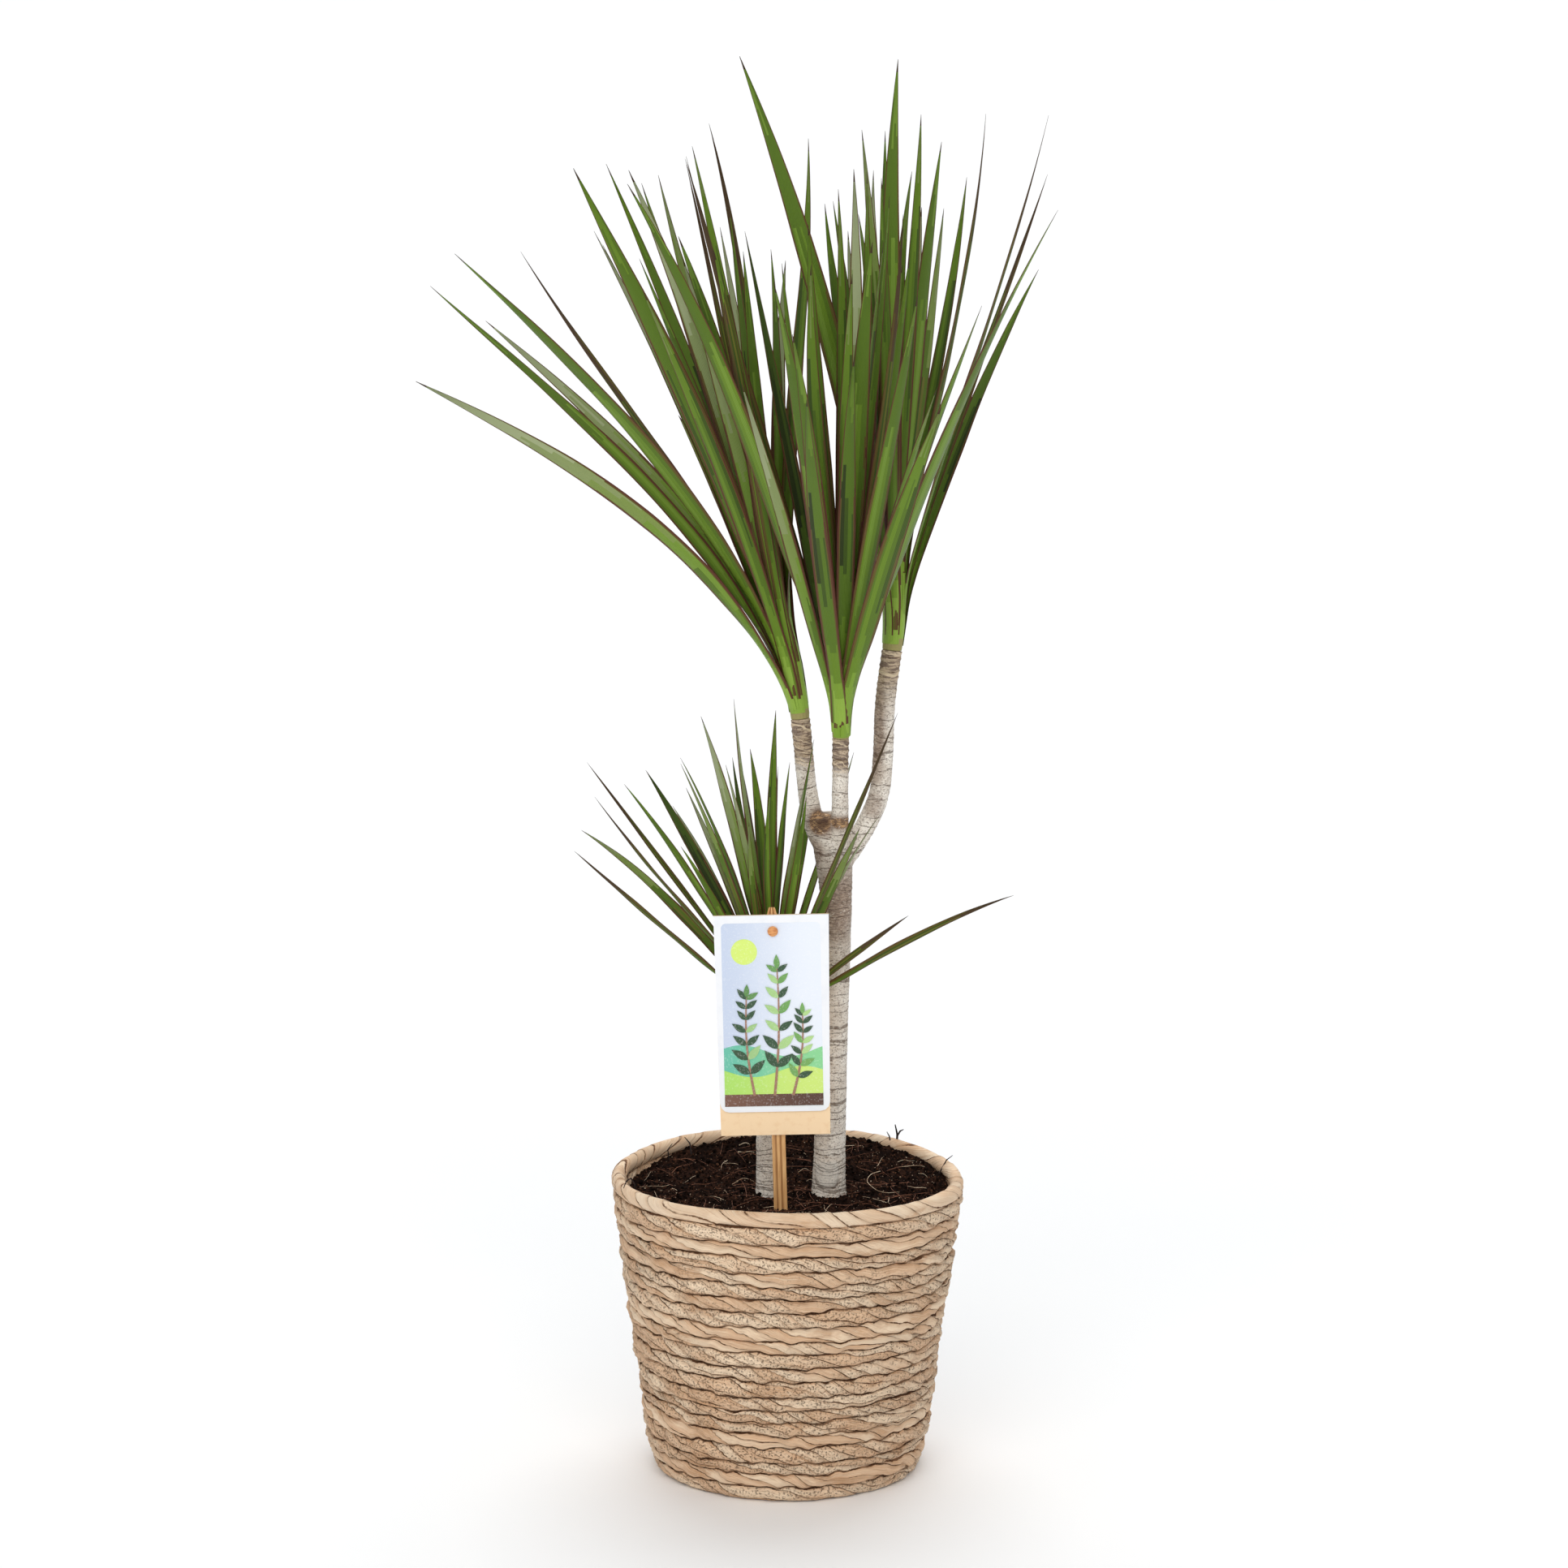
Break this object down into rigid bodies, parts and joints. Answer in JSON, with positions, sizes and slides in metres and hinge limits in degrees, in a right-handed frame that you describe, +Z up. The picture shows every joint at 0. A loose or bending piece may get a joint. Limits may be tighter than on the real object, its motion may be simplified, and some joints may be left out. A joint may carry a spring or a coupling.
{
  "type": "potted dragon tree",
  "caption": "Madagascar dragon tree with slender forking stems and heads of narrow pointed leaves, in a round rope basket of soil, with a plain label card on a stick.",
  "frame": {"origin": "centre of the basket's flat underside, on the floor", "axes": "+X to the right and +Y away as seen from the front, where the label stands, and +Z up"},
  "size_m": [0.4056, 0.371, 0.9353],
  "materials": {
    "rope": "dry twisted plant rope",
    "soil": "moist potting soil",
    "bark": "thin grey-brown bark",
    "leaf": "smooth strap leaves",
    "bamboo": "plain bamboo",
    "kraft": "uncoated kraft card",
    "leaflet": "coated leaflet",
    "pin": "turned wooden pin"
  },
  "bodies": {
    "root": {"basket": "rope", "basket_rim": "rope", "soil": "soil", "trunk": "bark", "short_trunk": "bark", "bough_left": "bark", "bough_middle": "bark", "bough_right": "bark", "head_left": "leaf", "head_middle": "leaf", "head_right": "leaf", "head_low": "leaf", "label_stick": "bamboo", "label_card": "kraft", "label_leaflet": "leaflet", "label_pin": "pin"}
  },
  "joints": []
}
